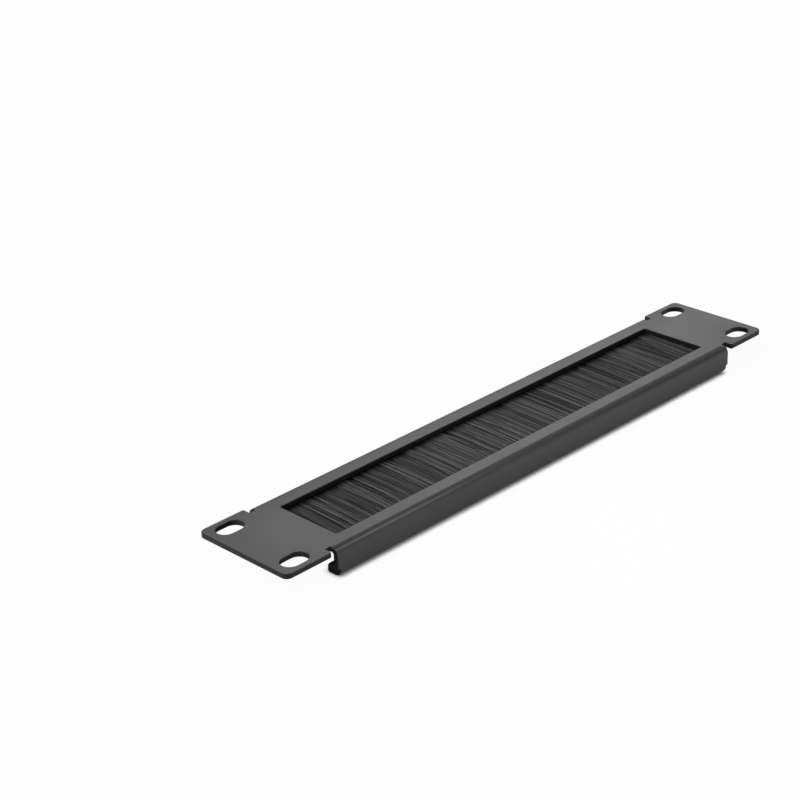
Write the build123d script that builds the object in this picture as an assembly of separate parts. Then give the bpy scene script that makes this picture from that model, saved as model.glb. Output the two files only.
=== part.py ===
from build123d import *

import math
import os

# One-unit brush panel for a ten-inch rack. It lies face up on its rear lips: X runs along the panel,
# Y across it with the brush's root on the -Y side, and Z points out of the face. Millimetres.

# Folded sheet
panel_length = 254.0
panel_height = 43.6
panel_depth = 11.0
sheet = 2.0
bend_inner = 0.8
lip_width = 7.6
ear_length = 22.0
ear_corner = 2.5
lip_corner = 2.5
lip_setback = 1.0
setback_corner = 0.5
edge_break = 0.2
sharp_angle = 30.0

# Relief notches between the ears and the folds
relief_width = 2.2
relief_extra = 0.1
relief_corner = 0.4
relief_mouth_corner = 0.8

# Window, set in from the ends of the folds and from the panel's long sides
window_end_margin = 7.2
window_side_margin = 7.8
window_corner = 0.6

# Slots in the ears, each centred this far in from the panel's sides
slot_inset_x = 8.7375
slot_inset_y = 5.925
slot_length = 10.5
slot_width = 7.0

# Strip brush: a crimped channel, its core wire and the filaments folded round the wire
brush_end_overlap = 3.4
brush_shift = 2.8
holder_depth = 5.0
holder_wall = 0.6
holder_clearance = 0.4
mouth_pinch = 0.3
pinch_length = 1.2
corner_clearance = 0.4
wire_diameter = 2.0
crimp_clearance = 0.05

# Filaments, gathered in tufts, with the angle steps of the waves in their tip line
tip_overlap = 2.4
tuft_count = 100
tuft_gap = 0.35
tuft_chamfer = 0.45
root_margin = 0.9
tip_spread = 1.3
slow_tip_step = 0.37
quick_tip_step = 2.3
end_clearance = 0.1

# Countersunk screws through the rear lip
screw_count = 3
screw_inset = 16.0
screw_diameter = 1.6
screw_head_diameter = 3.0
screw_head_rim = 0.15
screw_sink = 0.1
screw_tip_gap = 0.4
screw_clearance = 0.1
recess_width = 0.45
recess_span = 1.6
recess_depth = 0.5

# Sizes that follow from the ones above
bend_outer = bend_inner + sheet
face_top = panel_depth
fold_length = panel_length - 2 * ear_length
window_length = fold_length - 2 * window_end_margin
window_height = panel_height - 2 * window_side_margin
brush_length = window_length + 2 * brush_end_overlap
flange_inner_y = -panel_height / 2 + sheet
holder_bottom = sheet
holder_height = panel_depth - 2 * sheet - holder_clearance
holder_corner = bend_inner + corner_clearance
holder_mouth_y = flange_inner_y + holder_depth
brush_mid_z = holder_bottom + holder_height / 2
brush_thickness = holder_height - 2 * (holder_wall + mouth_pinch)
root_height = holder_height - 2 * (holder_wall + crimp_clearance)
root_back_y = flange_inner_y + holder_wall + crimp_clearance
root_front_y = holder_mouth_y - pinch_length
wire_y = (root_back_y + root_front_y) / 2
tuft_start_y = holder_mouth_y + root_margin
tip_y = window_height / 2 + tip_overlap
filled_length = brush_length - 2 * (holder_wall + end_clearance)
tuft_pitch = filled_length / tuft_count
screw_y = -panel_height / 2 + (bend_outer + lip_width) / 2
screw_tip = brush_mid_z - wire_diameter / 2 - screw_tip_gap


def along_x(section, length, middle=0.0):
    """A section in the YZ plane, run out to both sides of a middle X."""
    return Pos(middle, 0, 0) * extrude(section, length / 2, both=True)


def folded_section():
    """The sheet's C shape: web, two flanges and two lips turned in."""
    outer = Plane.YZ * Pos(0, panel_depth / 2) * RectangleRounded(panel_height, panel_depth, bend_outer)
    inner = Plane.YZ * Pos(0, panel_depth / 2) * RectangleRounded(
        panel_height - 2 * sheet, panel_depth - 2 * sheet, bend_inner
    )
    mouth = Plane.YZ * Pos(0, sheet / 2) * Rectangle(panel_height - 2 * lip_width, 2 * sheet)
    return outer - inner - mouth


def lip_end_room(x_side):
    """The room by which the lips and their bends stop short of the flanges' ends."""
    height = bend_outer + setback_corner
    section = RectangleRounded(2 * lip_setback, 2 * height, setback_corner)
    return Pos(x_side * fold_length / 2, 0, 0) * extrude(Plane.XZ * section, panel_height, both=True)


def relief_notch(x_side, y_side):
    """A notch that frees the end of a fold from the ear beside it."""
    depth = bend_outer + relief_corner + relief_extra
    notch = Rectangle(relief_width, 2 * depth)
    notch = fillet(notch.vertices().group_by(Axis.Y)[0 if y_side > 0 else -1], relief_corner)
    x = x_side * (fold_length / 2 + relief_width / 2)
    y = y_side * panel_height / 2
    return Pos(x, y, 0) * notch


def ear_outline():
    """Both ears in plan, up to the ends of the folds."""
    ears = RectangleRounded(panel_length, panel_height, ear_corner) - Rectangle(fold_length, 2 * panel_height)
    for x_side in (-1, 1):
        for y_side in (-1, 1):
            ears -= relief_notch(x_side, y_side)
    ear_middle = (panel_length - ear_length) / 2
    for y_end in (0, -1):
        side_points = ears.vertices().group_by(Axis.Y)[y_end]
        mouth_corners = side_points.filter_by_position(Axis.X, -ear_middle, ear_middle)
        ears = fillet(mouth_corners, relief_mouth_corner)
    return ears


def mounting_slots():
    slots = Sketch()
    for x_side in (-1, 1):
        for y_side in (-1, 1):
            x = x_side * (panel_length / 2 - slot_inset_x)
            y = y_side * (panel_height / 2 - slot_inset_y)
            slots += Pos(x, y) * SlotOverall(slot_length, slot_width)
    return slots


def screw_places():
    first = screw_inset - fold_length / 2
    spacing = (fold_length - 2 * screw_inset) / (screw_count - 1)
    return [first + spacing * index for index in range(screw_count)]


def screw_body(clearance=0.0):
    """A countersunk screw pointing up from the lip, or the room that it needs."""
    head = screw_head_diameter / 2 + clearance
    shank = screw_diameter / 2 + clearance
    rim_top = screw_sink + screw_head_rim
    low = screw_sink if clearance == 0.0 else -sheet
    outline = Polyline(
        (0, low),
        (head, low),
        (head, rim_top),
        (shank, rim_top + head - shank),
        (shank, screw_tip + clearance),
        (0, screw_tip + clearance),
        close=True,
    )
    profile = make_face(Plane.XZ * outline)
    return Pos(0, screw_y, 0) * revolve(profile, Axis.Z)


def sharp_edges(solid):
    """The edges of a solid whose two faces don't run smoothly into each other."""
    faces_at = {}
    for face in solid.faces():
        for edge in face.edges():
            faces_at.setdefault(edge, []).append(face)
    edges = []
    for edge, faces in faces_at.items():
        middle = edge.position_at(0.5)
        if faces[0].normal_at(middle).get_angle(faces[-1].normal_at(middle)) > sharp_angle:
            edges.append(edge)
    return edges


def make_face_panel():
    folds = along_x(folded_section(), fold_length)
    for x_side in (-1, 1):
        folds -= lip_end_room(x_side)
    ears = Pos(0, 0, face_top - sheet) * extrude(ear_outline(), sheet)
    panel = folds + ears
    window = RectangleRounded(window_length, window_height, window_corner)
    cut = Pos(0, 0, face_top - 2 * sheet) * extrude(window + mounting_slots(), 3 * sheet)
    panel -= cut
    lip_edges = panel.edges().filter_by(Axis.Z).filter_by_position(Axis.Z, 0, sheet)
    panel = fillet(lip_edges, lip_corner)
    panel = chamfer(sharp_edges(panel), edge_break)
    for x in screw_places():
        panel -= Pos(x, 0, 0) * screw_body(screw_clearance)
    return panel


def holder_section():
    """A channel with rounded back corners and a mouth pinched on the filaments."""
    back = flange_inner_y
    mouth = holder_mouth_y
    top = holder_bottom + holder_height
    outer = Polyline(
        (back, holder_bottom),
        (root_front_y, holder_bottom),
        (mouth, holder_bottom + mouth_pinch),
        (mouth, top - mouth_pinch),
        (root_front_y, top),
        (back, top),
        close=True,
    )
    inner = Polyline(
        (back + holder_wall, holder_bottom + holder_wall),
        (root_front_y, holder_bottom + holder_wall),
        (mouth, holder_bottom + mouth_pinch + holder_wall),
        (mouth, top - mouth_pinch - holder_wall),
        (root_front_y, top - holder_wall),
        (back + holder_wall, top - holder_wall),
        close=True,
    )
    outer_face = make_face(outer)
    outer_face = fillet(outer_face.vertices().group_by(Axis.X)[0], holder_corner)
    inner_face = make_face(inner)
    inner_face = fillet(inner_face.vertices().group_by(Axis.X)[0], holder_corner - holder_wall)
    return Plane.YZ * (outer_face - inner_face)


def end_tab_section():
    """A corner of the channel's end, folded across it so that the wire can't slide out."""
    back = flange_inner_y
    top = holder_bottom + holder_height
    triangle = Polyline(
        (back, holder_bottom + holder_corner),
        (back, top),
        (root_front_y, top),
        close=True,
    )
    tab = make_face(triangle)
    outer_corner = tab.vertices().group_by(Axis.X)[0].sort_by(Axis.Y)[-1]
    return Plane.YZ * fillet(outer_corner, holder_corner)


def make_brush_holder():
    holder = along_x(holder_section(), brush_length, brush_shift)
    for x_side in (-1, 1):
        tab_x = brush_shift + x_side * (brush_length - holder_wall) / 2
        holder += along_x(end_tab_section(), holder_wall, tab_x)
    for x in screw_places():
        holder -= Pos(x, 0, 0) * screw_body(screw_clearance)
    return holder


def make_core_wire():
    circle = Plane.YZ * Pos(wire_y, brush_mid_z) * Circle(wire_diameter / 2)
    return along_x(circle, filled_length, brush_shift)


def root_section():
    """The folded end of the filaments, with the wire's bore through it."""
    corner = holder_corner - holder_wall
    body = Pos(wire_y, brush_mid_z) * RectangleRounded(root_front_y - root_back_y, root_height, corner)
    neck_height = brush_thickness - 2 * crimp_clearance
    neck = Pos((wire_y + tuft_start_y) / 2, brush_mid_z) * Rectangle(tuft_start_y - wire_y, neck_height)
    bore = Pos(wire_y, brush_mid_z) * Circle(wire_diameter / 2 + crimp_clearance)
    return Plane.YZ * (body + neck - bore)


def tip_offset(index):
    """An uneven but repeatable tip line: two waves that step on by an angle from tuft to tuft."""
    slow = math.sin(slow_tip_step * index)
    quick = math.sin(quick_tip_step * index + 1.0)
    return tip_spread / 2 * (slow + quick) / 2


def tuft(index):
    """One tuft: a bundle with bevelled long edges, running out to its own length."""
    width = tuft_pitch - tuft_gap
    length = tip_y + tip_offset(index) - tuft_start_y
    corners = [
        (width / 2, brush_thickness / 2 - tuft_chamfer),
        (width / 2 - tuft_chamfer, brush_thickness / 2),
    ]
    quarter = corners + [(-x, z) for x, z in reversed(corners)]
    outline = quarter + [(-x, -z) for x, z in quarter]
    section = make_face(Polyline(*outline, close=True))
    x = brush_shift - filled_length / 2 + tuft_pitch * (index + 0.5)
    plane = Plane(origin=(x, tuft_start_y, brush_mid_z), x_dir=(1, 0, 0), z_dir=(0, 1, 0))
    return extrude(plane * section, length)


def make_bristles():
    root = along_x(root_section(), filled_length, brush_shift)
    bristles = root + [tuft(index) for index in range(tuft_count)]
    for x in screw_places():
        bristles -= Pos(x, 0, 0) * screw_body(screw_clearance)
    return bristles


def make_clamp_screw(x):
    """A countersunk screw with a cross recess in its head."""
    slot = Box(recess_span, recess_width, 2 * recess_depth) + Box(recess_width, recess_span, 2 * recess_depth)
    screw = screw_body() - Pos(0, screw_y, screw_sink) * slot
    return Pos(x, 0, 0) * screw


parts = {
    "face_panel": make_face_panel(),
    "brush_holder": make_brush_holder(),
    "core_wire": make_core_wire(),
    "bristles": make_bristles(),
}
for index, x in enumerate(screw_places(), start=1):
    parts["clamp_screw_" + str(index)] = make_clamp_screw(x)

os.makedirs("parts", exist_ok=True)
for name, shape in parts.items():
    export_step(shape, "parts/" + name + ".step")
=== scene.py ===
import math

import bpy
import numpy as np
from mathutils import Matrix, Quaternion, Vector


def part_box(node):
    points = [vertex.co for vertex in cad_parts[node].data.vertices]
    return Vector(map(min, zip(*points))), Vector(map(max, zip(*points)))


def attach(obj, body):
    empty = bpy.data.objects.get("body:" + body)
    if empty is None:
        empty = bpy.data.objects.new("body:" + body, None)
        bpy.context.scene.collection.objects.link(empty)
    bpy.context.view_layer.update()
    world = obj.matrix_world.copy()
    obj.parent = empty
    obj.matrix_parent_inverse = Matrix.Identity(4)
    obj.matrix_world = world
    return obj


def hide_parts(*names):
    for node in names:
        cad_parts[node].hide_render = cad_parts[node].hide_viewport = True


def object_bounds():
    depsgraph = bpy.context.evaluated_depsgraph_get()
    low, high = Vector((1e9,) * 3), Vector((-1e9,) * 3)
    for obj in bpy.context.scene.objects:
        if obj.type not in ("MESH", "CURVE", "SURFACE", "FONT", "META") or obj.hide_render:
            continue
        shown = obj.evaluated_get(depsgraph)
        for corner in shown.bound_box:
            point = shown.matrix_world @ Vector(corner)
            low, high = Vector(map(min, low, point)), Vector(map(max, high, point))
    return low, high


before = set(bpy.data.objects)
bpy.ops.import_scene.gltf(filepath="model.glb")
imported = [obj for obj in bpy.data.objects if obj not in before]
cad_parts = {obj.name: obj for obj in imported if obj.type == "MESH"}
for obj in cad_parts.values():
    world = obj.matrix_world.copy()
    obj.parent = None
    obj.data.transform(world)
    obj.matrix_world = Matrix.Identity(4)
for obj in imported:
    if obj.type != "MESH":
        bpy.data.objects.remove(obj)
cad_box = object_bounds()

mm = 0.001

# Camera, fitted to the photograph
camera_place = Vector((-0.47464, -0.43717, 0.32848))
camera_aim = Vector((-0.01245, 0.04185, 0.011))
camera_roll = math.radians(2.461)
camera_lens = 88.94
camera_sensor = 36.0
camera_near = 0.01

# Floor, with the painted shade that is seen and the wider painted shade that is mirrored, as (openness,
# grey) stops
floor_size = 6.0
floor_gap = 0.02 * mm
floor_tone = 0.93
floor_glow = 0.95
contact_reach = 2.2 * mm
contact_shade = [(0.3, 0.12), (0.75, 0.8), (1.0, 1.0)]
mirrored_reach = 30.0 * mm
mirrored_shade = [(0.2, 0.0), (0.5, 0.3), (1.0, 1.0)]
shade_samples = 4
reflection_rays = ("Is Glossy Ray", "Is Transmission Ray")
background_rays = ("Is Camera Ray", "Is Glossy Ray", "Is Transmission Ray")

# World, as (upward part of the direction, grey) stops, and its strength as diffuse light
overhead_shade = [(0.2, 1.0), (0.42, 0.4), (0.8, 0.15)]
diffuse_share = 0.82

# Black card behind the panel
card_place = (0.03, 0.05, 0.014)
card_length = 0.4
card_height = 0.018
card_tone = 0.01

# Far softboxes: azimuth and elevation in degrees, size and brightness
lamp_distance = 1.3
softboxes = {
    "key_softbox": (158.0, 42.0, 1.08, 3.0),
    "back_softbox": (46.5, 23.0, 0.64, 1.4),
    "side_softbox": (0.0, 43.0, 0.7, 0.5),
}

# Small lamp for the near bend
bend_lamp_place = (0.006, -0.09, 0.115)
bend_lamp_aim = (-0.09, -0.02, 0.008)
bend_lamp_size = 0.04
bend_lamp_brightness = 7.5

# Painted shade on the cut edges of the folded sheet: their colour is darkened and their reflection
# weakened
sheet_reach = 2.05 * mm
upright_limit = 0.15
end_limit = 0.5
cut_edge_shade_gloss = 0.17
cut_edge_painted_shade = 0.45

# Powder coat
coat_tone = [(0.3, 0.0195), (0.7, 0.0255)]
coat_blue = 1.03
coat_roughness = [(0.3, 0.37), (0.7, 0.42)]
coat_gloss = 0.5
cloud_scale = 60.0
peel_scale = 1500.0
grain_scale = 5200.0
bump_strength = 0.35
bump_depth = 0.03 * mm

# Steel pieces
spangle_scale = 700.0
spangle_tone = [(0.0, 0.58), (1.0, 0.78)]
spangle_roughness = [(0.0, 0.3), (1.0, 0.42)]
wire_stretch = (60.0, 4000.0, 4000.0)
wire_tone = [(0.3, 0.38), (0.7, 0.56)]
wire_roughness = 0.34
wear_scale = 1800.0
wear_tone = [(0.4, 0.07), (0.75, 0.2)]
wear_roughness = [(0.3, 0.3), (0.7, 0.45)]

# Filaments of the strip brush
filament_radius = 0.14 * mm
filament_spacing = 0.25 * mm
filament_tone = [(0.0, 0.007), (0.5, 0.027), (1.0, 0.12)]
filament_roughness = 0.42
layers = 11
straight_rings = 8
ring_corners = 3
tip_taper = 0.7
tip_variation = 0.45 * mm
tip_wavelength = 6.0 * mm
fan_height = 1.1 * mm
fan_top = 8.82 * mm
mouth_pinch = 0.3 * mm
root_inset = 0.7 * mm
folded_end = 1.6 * mm
fold_angles = np.radians([180.0, 150.0, 120.0, 90.0])
end_margin = 0.3 * mm

# Clumps and strands of filaments
clump_width = 0.95 * mm
clump_levels = 4
level_offset = 0.3
strand_width = 0.45 * mm
clump_pull = 0.26
least_pull = 0.4
group_spread = (0.4, 1.6)
table_size = 4096
table_start = 1000.0

# How far filaments stray: in slow waves, by clump, by strand, and each on its own
lean_wave = 0.35 * mm
lean_wavelength = 19.0 * mm
lean_clump = 0.22 * mm
lean_own = 0.12 * mm
lean_power = 1.2
bow_wave = 0.25 * mm
bow_wavelength = 11.0 * mm
bow_clump = 0.20 * mm
bow_own = 0.07 * mm
bow_skew = 0.35
lift_clump = 0.10 * mm
lift_own = 0.05 * mm
lift_strand = 0.18 * mm

# Tones of the filaments, from 0 to 1
tone_middle = 0.45
tone_strand = 0.36
tone_own = 0.28
stray_tone = (0.45, 1.0)

# Single filaments that lie across the brush
stray_count = 260
stray_inset = 3.0 * mm
stray_top_share = 0.6
stray_lean = 1.0 * mm
stray_bow = 0.5 * mm
stray_tip = 0.5 * mm
stray_height = 0.15 * mm
stray_root = 0.9

# Seeds
brush_seed = 11
turn_seed = 5

random = np.random.default_rng(brush_seed)


def node_tree(name):
    """A new material with its shader, ready to be wired."""
    material = bpy.data.materials.new(name)
    material.use_nodes = True
    nodes = material.node_tree.nodes
    return material, nodes, material.node_tree.links, nodes["Principled BSDF"]


def add(nodes, kind, **inputs):
    """A new node, with the given inputs set by name."""
    node = nodes.new(kind)
    for name, value in inputs.items():
        node.inputs[name.replace("_", " ").title()].default_value = value
    return node


def ramp(nodes, stops, blue=1.0):
    """A colour ramp from (place, grey) stops, with a little more or less blue."""
    node = nodes.new("ShaderNodeValToRGB")
    elements = node.color_ramp.elements
    while len(elements) < len(stops):
        elements.new(0.5)
    for element, (place, grey) in zip(elements, stops):
        element.position = place
        element.color = (grey, grey, grey * blue, 1.0)
    return node


def vary(nodes, links, value, stops, socket, blue=1.0):
    """Sets a socket from a value that changes over the surface, through a ramp."""
    tone = ramp(nodes, stops, blue)
    links.new(value, tone.inputs["Fac"])
    links.new(tone.outputs["Color"], socket)


def texture(nodes, links, place, kind, **inputs):
    """A texture that lies in the given coordinates."""
    node = add(nodes, kind, **inputs)
    links.new(place, node.inputs["Vector"])
    return node


def calculate(nodes, links, kind, value, number):
    """One number worked out from a value and a fixed number."""
    node = nodes.new("ShaderNodeMath")
    node.operation = kind
    links.new(value, node.inputs[0])
    node.inputs[1].default_value = number
    return node.outputs["Value"]


def combine(nodes, links, kind, first, second):
    """One number worked out from two values."""
    node = nodes.new("ShaderNodeMath")
    node.operation = kind
    links.new(first, node.inputs[0])
    links.new(second, node.inputs[1])
    return node.outputs["Value"]


def split(nodes, links, vector):
    """The three parts of a vector."""
    parts = nodes.new("ShaderNodeSeparateXYZ")
    links.new(vector, parts.inputs["Vector"])
    return parts.outputs


def cut_edge_shade_mask(nodes, links, place):
    """1 on the walls that were cut through the sheet, else 0: upright ones near the face, and all ends.
    This is where the shade is painted.
    """
    height = split(nodes, links, place.outputs["Object"])["Z"]
    facing = split(nodes, links, place.outputs["Normal"])
    turned = {axis: calculate(nodes, links, "ABSOLUTE", facing[axis], 0.0) for axis in ("X", "Z")}
    high = calculate(nodes, links, "GREATER_THAN", height, cad_box[1][2] - sheet_reach)
    upright = calculate(nodes, links, "LESS_THAN", turned["Z"], upright_limit)
    end = calculate(nodes, links, "GREATER_THAN", turned["X"], end_limit)
    return combine(nodes, links, "MAXIMUM", combine(nodes, links, "MULTIPLY", high, upright), end)


def powder_coat():
    """Satin black powder coat: fine orange peel, slow changes of tone, and painted shade on the cut edges:
    darker colour and weaker reflection.
    """
    material, nodes, links, shader = node_tree("powder_coat")
    place = nodes.new("ShaderNodeTexCoord")
    # Painted shade: the cut walls get a darker colour and a weaker reflection, standing in for the shade
    # that falls on them.
    cut = cut_edge_shade_mask(nodes, links, place)
    dull = nodes.new("ShaderNodeMix")
    dull.inputs["A"].default_value = coat_gloss
    dull.inputs["B"].default_value = cut_edge_shade_gloss
    links.new(cut, dull.inputs["Factor"])
    links.new(dull.outputs["Result"], shader.inputs["Specular IOR Level"])
    darker = nodes.new("ShaderNodeMix")
    darker.data_type = "RGBA"
    darker.blend_type = "MULTIPLY"
    darker.inputs["B"].default_value = (cut_edge_painted_shade, cut_edge_painted_shade, cut_edge_painted_shade, 1.0)
    links.new(cut, darker.inputs["Factor"])
    links.new(darker.outputs["Result"], shader.inputs["Base Color"])
    spot = place.outputs["Object"]
    clouds = texture(nodes, links, spot, "ShaderNodeTexNoise", scale=cloud_scale, detail=3.0)
    vary(nodes, links, clouds.outputs["Fac"], coat_tone, darker.inputs["A"], coat_blue)
    vary(nodes, links, clouds.outputs["Fac"], coat_roughness, shader.inputs["Roughness"])
    peel = texture(nodes, links, spot, "ShaderNodeTexNoise", scale=peel_scale, detail=2.0)
    grain = texture(nodes, links, spot, "ShaderNodeTexNoise", scale=grain_scale, detail=1.0)
    bump = add(nodes, "ShaderNodeBump", strength=bump_strength, distance=bump_depth)
    both = combine(nodes, links, "ADD", peel.outputs["Fac"], grain.outputs["Fac"])
    links.new(both, bump.inputs["Height"])
    links.new(bump.outputs["Normal"], shader.inputs["Normal"])
    return material


def filament_plastic():
    """Black polyamide filaments, each with its own tone."""
    material, nodes, links, shader = node_tree("filament_plastic")
    own_tone = nodes.new("ShaderNodeAttribute")
    own_tone.attribute_name = "tone"
    vary(nodes, links, own_tone.outputs["Fac"], filament_tone, shader.inputs["Base Color"])
    shader.inputs["Roughness"].default_value = filament_roughness
    return material


def galvanised_steel():
    """Zinc-coated strip with a faint spangle."""
    material, nodes, links, shader = node_tree("galvanised_steel")
    shader.inputs["Metallic"].default_value = 1.0
    spot = nodes.new("ShaderNodeTexCoord").outputs["Object"]
    spangle = texture(nodes, links, spot, "ShaderNodeTexVoronoi", scale=spangle_scale)
    vary(nodes, links, spangle.outputs["Distance"], spangle_tone, shader.inputs["Base Color"])
    vary(nodes, links, spangle.outputs["Distance"], spangle_roughness, shader.inputs["Roughness"])
    return material


def drawn_wire():
    """Drawn steel wire with fine lines along its length."""
    material, nodes, links, shader = node_tree("drawn_wire")
    shader.inputs["Metallic"].default_value = 1.0
    shader.inputs["Roughness"].default_value = wire_roughness
    stretch = nodes.new("ShaderNodeMapping")
    stretch.inputs["Scale"].default_value = wire_stretch
    links.new(nodes.new("ShaderNodeTexCoord").outputs["Object"], stretch.inputs["Vector"])
    spot = stretch.outputs["Vector"]
    lines = texture(nodes, links, spot, "ShaderNodeTexNoise", scale=1.0, detail=3.0)
    vary(nodes, links, lines.outputs["Fac"], wire_tone, shader.inputs["Base Color"])
    return material


def blackened_steel():
    """Oil-blackened screw heads, a little worn."""
    material, nodes, links, shader = node_tree("blackened_steel")
    shader.inputs["Metallic"].default_value = 1.0
    spot = nodes.new("ShaderNodeTexCoord").outputs["Object"]
    wear = texture(nodes, links, spot, "ShaderNodeTexNoise", scale=wear_scale, detail=4.0)
    vary(nodes, links, wear.outputs["Fac"], wear_tone, shader.inputs["Base Color"])
    vary(nodes, links, wear.outputs["Fac"], wear_roughness, shader.inputs["Roughness"])
    return material


def matte(name, grey):
    """A dull material of one grey."""
    material, nodes, links, shader = node_tree(name)
    shader.inputs["Base Color"].default_value = (grey, grey, grey, 1.0)
    shader.inputs["Roughness"].default_value = 1.0
    shader.inputs["Specular IOR Level"].default_value = 0.0
    return material, nodes, links, shader


def dress(node, material):
    """Gives a CAD node its material."""
    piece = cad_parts[node]
    piece.data.materials.clear()
    piece.data.materials.append(material)


def smooth_noise(positions, wavelength, seed):
    """Random values from -1 to 1 that change smoothly along a line."""
    table = np.random.default_rng(seed).uniform(-1.0, 1.0, table_size)
    place = positions / wavelength + table_start
    low = np.floor(place).astype(int)
    part = place - low
    part = part * part * (3.0 - 2.0 * part)
    return table[low % table_size] * (1.0 - part) + table[(low + 1) % table_size] * part


def groups(positions, mean_width, source):
    """Groups of uneven width along a line: their widths and borders, and the group of each position."""
    widths = source.uniform(*group_spread, table_size) * mean_width
    borders = np.cumsum(widths) - 1.0
    return widths, borders, np.searchsorted(borders, positions)


def group_values(positions, mean_width, seed):
    """One random value from -1 to 1 for each of many groups of uneven width."""
    source = np.random.default_rng(seed)
    index = groups(positions, mean_width, source)[2]
    return source.uniform(-1.0, 1.0, table_size + 1)[index]


def group_middles(positions, mean_width, seed):
    """The middle of the group of uneven width that each position falls in."""
    widths, borders, index = groups(positions, mean_width, np.random.default_rng(seed))
    return borders[index] - widths[index] / 2


def brush_facts():
    """Where the brush lies, read from the CAD boxes."""
    low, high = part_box("bristles")
    holder_low, holder_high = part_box("brush_holder")
    wire_low, wire_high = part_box("core_wire")
    return {
        "start": low[0] + filament_radius,
        "end": high[0] - filament_radius,
        "mouth": holder_high[1],
        "tip": high[1] - 1.5 * tip_variation,
        "middle": (holder_low[2] + holder_high[2]) / 2,
        "wire_y": (wire_low[1] + wire_high[1]) / 2,
        "wire_radius": (wire_high[2] - wire_low[2]) / 2,
        "root_half": (high[2] - low[2]) / 2,
        "half": (high[2] - low[2]) / 2 - mouth_pinch - filament_radius,
    }


def filament_roots(facts):
    """Cross positions of all filaments at the holder's mouth: x, and depth from -1 to 1."""
    columns = int((facts["end"] - facts["start"]) / filament_spacing)
    pitch = (facts["end"] - facts["start"]) / columns
    x = facts["start"] + pitch * (np.arange(columns) + 0.5)
    depth = (np.arange(layers) + 0.5) / layers * 2.0 - 1.0
    x, depth = (values.ravel() for values in np.meshgrid(x, depth))
    x = x + random.uniform(-0.5, 0.5, x.size) * pitch
    depth = depth + random.uniform(-0.5, 0.5, x.size) * 2.0 / layers
    return np.clip(x, facts["start"], facts["end"]), np.clip(depth, -1.0, 1.0)


def clump_places(x, depth):
    """Places along one long line on which each level of the brush has clumps of its own."""
    level = np.clip(((depth + 1.0) / 2.0 * clump_levels).astype(int), 0, clump_levels - 1)
    return x + level_offset * level


def ring_steps():
    """The rings of a free length, from 0 at its root to 1 at its tip, as one row."""
    return np.linspace(0.0, 1.0, straight_rings)[None, :]


def straight_paths(facts, x, depth):
    """Ring centres of the free lengths, as an array of filaments by rings by three."""
    place = clump_places(x, depth)
    to_clump = group_middles(place, clump_width, seed=22) - place
    uneven = np.abs(group_values(place, clump_width, seed=27))
    pull = clump_pull * (least_pull + (1.0 - least_pull) * uneven)
    lean = lean_wave * smooth_noise(x, lean_wavelength, seed=21)
    lean += lean_clump * group_values(place, clump_width, seed=23)
    lean += to_clump * pull + lean_own * random.normal(0.0, 1.0, x.size)
    bow = bow_wave * smooth_noise(x, bow_wavelength, seed=28)
    bow += bow_clump * group_values(place, clump_width, seed=24)
    bow += bow_own * random.normal(0.0, 1.0, x.size)
    lift = lift_clump * group_values(place, clump_width, seed=25)
    lift += lift_own * random.normal(0.0, 1.0, x.size)
    lift += lift_strand * group_values(x, strand_width, seed=33)
    tip = facts["tip"] + 0.5 * tip_variation * smooth_noise(x, tip_wavelength, seed=26)
    tip += tip_variation * random.uniform(-1.0, 1.0, x.size)
    t = ring_steps()
    start = facts["mouth"] - root_inset
    swing = np.sin(math.pi * t) + bow_skew * np.sin(2.0 * math.pi * t)
    fan = (fan_height * (1.0 + depth) / 2.0)[:, None] * (1.0 - (1.0 - t) ** 2) + lift[:, None] * t
    sideways = x[:, None] + lean[:, None] * t**lean_power + bow[:, None] * swing
    centres = np.empty((x.size, straight_rings, 3))
    centres[:, :, 0] = np.clip(sideways, facts["start"] - end_margin * t, facts["end"] + end_margin * t)
    centres[:, :, 1] = start + (tip - start)[:, None] * t
    centres[:, :, 2] = np.minimum(facts["middle"] + facts["half"] * depth[:, None] + fan, fan_top)
    return centres


def folded_paths(facts, x, depth):
    """Ring centres of the folds round the core wire, for the filaments at the strip's two ends."""
    inner = facts["wire_radius"] + filament_radius
    radius = inner + (facts["root_half"] - inner - filament_radius) * np.abs(depth)
    side = np.where(depth < 0.0, -1.0, 1.0)
    centres = np.empty((x.size, len(fold_angles), 3))
    centres[:, :, 0] = x[:, None]
    centres[:, :, 1] = facts["wire_y"] + radius[:, None] * np.cos(fold_angles)[None, :]
    centres[:, :, 2] = facts["middle"] + (side * radius)[:, None] * np.sin(fold_angles)[None, :]
    return centres


def stray_paths(facts):
    """Ring centres of single filaments that lie across the two faces of the brush."""
    x = random.uniform(facts["start"] + stray_inset, facts["end"] - stray_inset, stray_count)
    side = np.where(random.random(stray_count) < stray_top_share, 1.0, -1.0)
    lean = stray_lean * random.normal(0.0, 1.0, stray_count)
    bow = stray_bow * random.normal(0.0, 1.0, stray_count)
    tip = facts["tip"] + stray_tip * random.uniform(-1.0, 1.0, stray_count)
    height = facts["half"] + stray_height * random.random(stray_count)
    t = ring_steps()
    start = facts["mouth"] - root_inset
    fan = np.where(side > 0.0, fan_height, 0.0)[:, None] * (1.0 - (1.0 - t) ** 2)
    centres = np.empty((stray_count, straight_rings, 3))
    centres[:, :, 0] = x[:, None] + lean[:, None] * t + bow[:, None] * np.sin(math.pi * t)
    centres[:, :, 1] = start + (tip - start)[:, None] * t
    centres[:, :, 2] = facts["middle"] + (side * height)[:, None] * np.minimum(1.0, stray_root + t) + fan
    return centres


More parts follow.
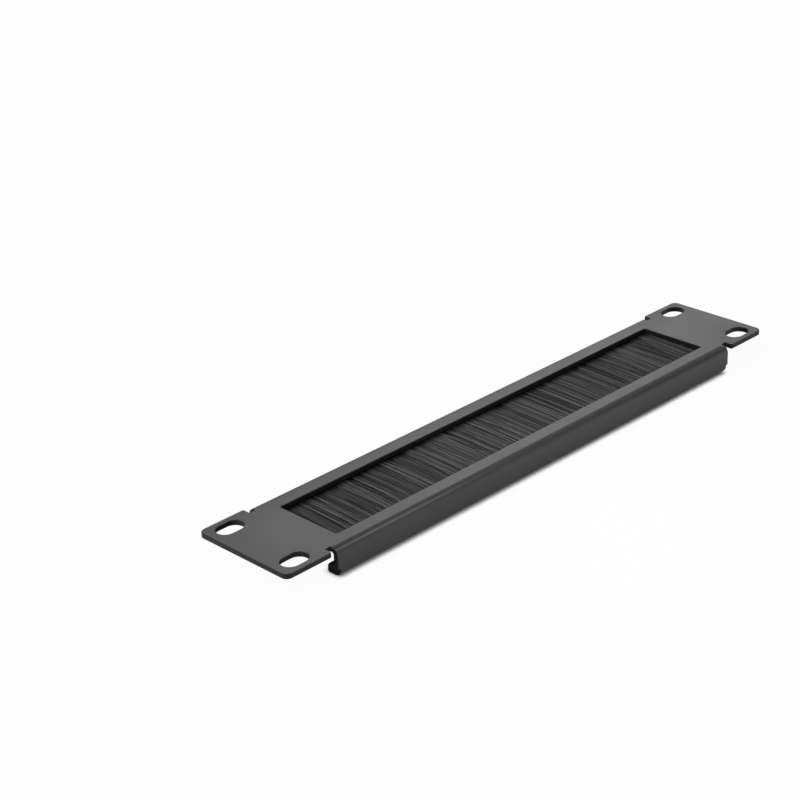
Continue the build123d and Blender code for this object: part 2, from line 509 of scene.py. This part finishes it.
def filament_points(centres):
    """Corner points of the three-sided rings round the given centres."""
    count, rings, _ = centres.shape
    tangent = np.gradient(centres, axis=1)
    normal = np.stack([np.zeros((count, rings)), -tangent[:, :, 2], tangent[:, :, 1]], axis=2)
    normal /= np.linalg.norm(normal, axis=2, keepdims=True)
    turn = np.random.default_rng(turn_seed).uniform(0.0, 2.0 * math.pi, count)
    radius = np.full(rings, filament_radius)
    radius[-1] *= tip_taper
    points = np.empty((count, rings, ring_corners, 3))
    for corner in range(ring_corners):
        angle = turn + 2.0 * math.pi * corner / ring_corners
        sideways = np.cos(angle)[:, None] * radius[None, :]
        upwards = np.sin(angle)[:, None] * radius[None, :]
        points[:, :, corner] = centres + upwards[:, :, None] * normal
        points[:, :, corner, 0] += sideways
    return points


def filament_faces(count, rings):
    """The sides of all filaments and the caps on their tips, as lists of point numbers."""
    base = np.arange(count)[:, None, None] * rings * ring_corners
    ring = np.arange(rings - 1)[None, :, None] * ring_corners
    corner = np.arange(ring_corners)[None, None, :]
    near = base + ring + corner
    near_following = base + ring + (corner + 1) % ring_corners
    sides = np.stack([near, near_following, near_following + ring_corners, near + ring_corners], axis=3)
    last = np.arange(count)[:, None] * rings * ring_corners + (rings - 1) * ring_corners
    caps = last + np.arange(ring_corners)[None, :]
    return sides.reshape(-1, 4).tolist() + caps.tolist()


def filament_mesh(name, centres, tones):
    """One mesh of three-sided filaments along the given ring centres."""
    count, rings, _ = centres.shape
    mesh = bpy.data.meshes.new(name)
    mesh.from_pydata(filament_points(centres).reshape(-1, 3).tolist(), [], filament_faces(count, rings))
    mesh.polygons.foreach_set("use_smooth", [True] * len(mesh.polygons))
    attribute = mesh.attributes.new("tone", "FLOAT", "POINT")
    attribute.data.foreach_set("value", np.repeat(tones, rings * ring_corners))
    mesh.update()
    return mesh


def add_bristles(name, centres, tones, material):
    """One piece of the brush, which takes its place in the dressed part."""
    piece = bpy.data.objects.new(name, filament_mesh(name, centres, tones))
    bpy.context.scene.collection.objects.link(piece)
    piece.data.materials.append(material)
    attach(piece, "root")
    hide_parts("bristles")


def make_bristles(material):
    """The brush: thousands of filaments in three stretches, their folded roots and the strays."""
    facts = brush_facts()
    x, depth = filament_roots(facts)
    centres = straight_paths(facts, x, depth)
    tones = tone_middle + tone_strand * group_values(x, strand_width, seed=32)
    tones = np.clip(tones + random.normal(0.0, tone_own, x.size), 0.0, 1.0)
    stretches = ("bristles_left", "bristles_middle", "bristles_right")
    share = (x - facts["start"]) / (facts["end"] - facts["start"])
    stretch = np.minimum((share * len(stretches)).astype(int), len(stretches) - 1)
    for index, name in enumerate(stretches):
        picked = stretch == index
        add_bristles(name, centres[picked], tones[picked], material)
    at_end = np.minimum(x - facts["start"], facts["end"] - x) < folded_end
    folds = np.concatenate([folded_paths(facts, x[at_end], depth[at_end]), centres[at_end][:, :1]], axis=1)
    add_bristles("bristle_roots", folds, tones[at_end], material)
    strays = stray_paths(facts)
    add_bristles("bristle_strays", strays, random.uniform(*stray_tone, stray_count), material)


def any_ray(nodes, links, kinds):
    """1 for the rays of the given kinds, else 0."""
    rays = nodes.new("ShaderNodeLightPath")
    found = rays.outputs[kinds[0]]
    for kind in kinds[1:]:
        found = combine(nodes, links, "MAXIMUM", found, rays.outputs[kind])
    return found


def shaded_glow(nodes, links, reach, stops):
    """A white glow that darkens close to the panel: a painted shadow, where its shadow falls."""
    openness = nodes.new("ShaderNodeAmbientOcclusion")
    openness.inputs["Distance"].default_value = reach
    openness.samples = shade_samples
    glow = nodes.new("ShaderNodeEmission")
    vary(nodes, links, openness.outputs["AO"], stops, glow.inputs["Color"])
    return glow.outputs["Emission"]


def mix(nodes, links, factor, first, second):
    """The first shader where the factor is 0 and the second where it is 1."""
    mixed = nodes.new("ShaderNodeMixShader")
    links.new(factor, mixed.inputs["Fac"])
    links.new(first, mixed.inputs[1])
    links.new(second, mixed.inputs[2])
    return mixed.outputs["Shader"]


def add_floor():
    """A pale floor that is seen and reflected as white, with a painted shadow close to the panel and a
    little of its real shadow kept.
    """
    bpy.ops.mesh.primitive_plane_add(size=floor_size, location=(0.0, 0.0, -floor_gap))
    floor = bpy.context.object
    floor.name = "studio_floor"
    material, nodes, links, shader = matte("studio_floor", floor_tone)
    seen = shaded_glow(nodes, links, contact_reach, contact_shade)
    mirrored = shaded_glow(nodes, links, mirrored_reach, mirrored_shade)
    glow = mix(nodes, links, any_ray(nodes, links, reflection_rays), seen, mirrored)
    amount = calculate(nodes, links, "MULTIPLY", any_ray(nodes, links, background_rays), floor_glow)
    surface = mix(nodes, links, amount, shader.outputs["BSDF"], glow)
    links.new(surface, nodes["Material Output"].inputs["Surface"])
    floor.data.materials.append(material)


def add_black_card():
    """A low black card behind the panel, unseen by the camera, that dims the far margin's reflection."""
    bpy.ops.mesh.primitive_plane_add(size=1.0, location=card_place)
    card = bpy.context.object
    card.name = "black_card"
    card.scale = (card_length, card_height, 1.0)
    card.rotation_euler = (math.radians(90.0), 0.0, 0.0)
    card.visible_camera = False
    card.visible_diffuse = False
    card.visible_shadow = False
    material, _, _, _ = matte("black_card", card_tone)
    card.data.materials.append(material)


def set_world():
    """A white studio that darkens overhead, a little dimmer as light than as seen and reflected."""
    world = bpy.data.worlds.new("studio")
    bpy.context.scene.world = world
    world.use_nodes = True
    nodes = world.node_tree.nodes
    links = world.node_tree.links
    background = nodes["Background"]
    direction = nodes.new("ShaderNodeTexCoord")
    upward = split(nodes, links, direction.outputs["Generated"])["Z"]
    vary(nodes, links, upward, overhead_shade, background.inputs["Color"])
    strength = nodes.new("ShaderNodeMix")
    strength.inputs["A"].default_value = diffuse_share
    strength.inputs["B"].default_value = 1.0
    links.new(any_ray(nodes, links, background_rays), strength.inputs["Factor"])
    links.new(strength.outputs["Result"], background.inputs["Strength"])


def add_softbox(name, place, aim, size, brightness):
    """A square lamp that faces a point, as bright as a white card when its brightness is 1."""
    lamp = bpy.data.lights.new(name, "AREA")
    lamp.shape = "SQUARE"
    lamp.size = size
    lamp.energy = 4.0 * size**2 * brightness
    box = bpy.data.objects.new(name, lamp)
    bpy.context.scene.collection.objects.link(box)
    box.location = place
    box.rotation_mode = "QUATERNION"
    box.rotation_quaternion = (Vector(aim) - Vector(place)).to_track_quat("-Z", "Y")
    box.visible_camera = False


def lamp_place(azimuth, elevation):
    """The place of a far lamp, from its direction in degrees, azimuth 0 being +X."""
    turn = math.radians(azimuth)
    rise = math.radians(elevation)
    direction = Vector((math.cos(turn) * math.cos(rise), math.sin(turn) * math.cos(rise), math.sin(rise)))
    return lamp_distance * direction


def add_lamps():
    """The far softboxes round the panel and the small lamp for its near bend."""
    for name, (azimuth, elevation, size, brightness) in softboxes.items():
        add_softbox(name, lamp_place(azimuth, elevation), (0.0, 0.0, 0.0), size, brightness)
    add_softbox("bend_lamp", bend_lamp_place, bend_lamp_aim, bend_lamp_size, bend_lamp_brightness)


def add_camera():
    """The photograph's camera."""
    camera = bpy.data.cameras.new("camera")
    camera.lens = camera_lens
    camera.sensor_width = camera_sensor
    camera.clip_start = camera_near
    holder = bpy.data.objects.new("camera", camera)
    bpy.context.scene.collection.objects.link(holder)
    holder.location = camera_place
    holder.rotation_mode = "QUATERNION"
    look = (camera_aim - camera_place).to_track_quat("-Z", "Y")
    holder.rotation_quaternion = look @ Quaternion((0.0, 0.0, 1.0), -camera_roll)
    bpy.context.scene.camera = holder


add_camera()
set_world()
add_floor()
add_black_card()
add_lamps()

dress("face_panel", powder_coat())
dress("brush_holder", galvanised_steel())
dress("core_wire", drawn_wire())
screw_finish = blackened_steel()
for node in sorted(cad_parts):
    if node.startswith("clamp_screw"):
        dress(node, screw_finish)
make_bristles(filament_plastic())

bpy.context.scene.view_settings.view_transform = "Standard"
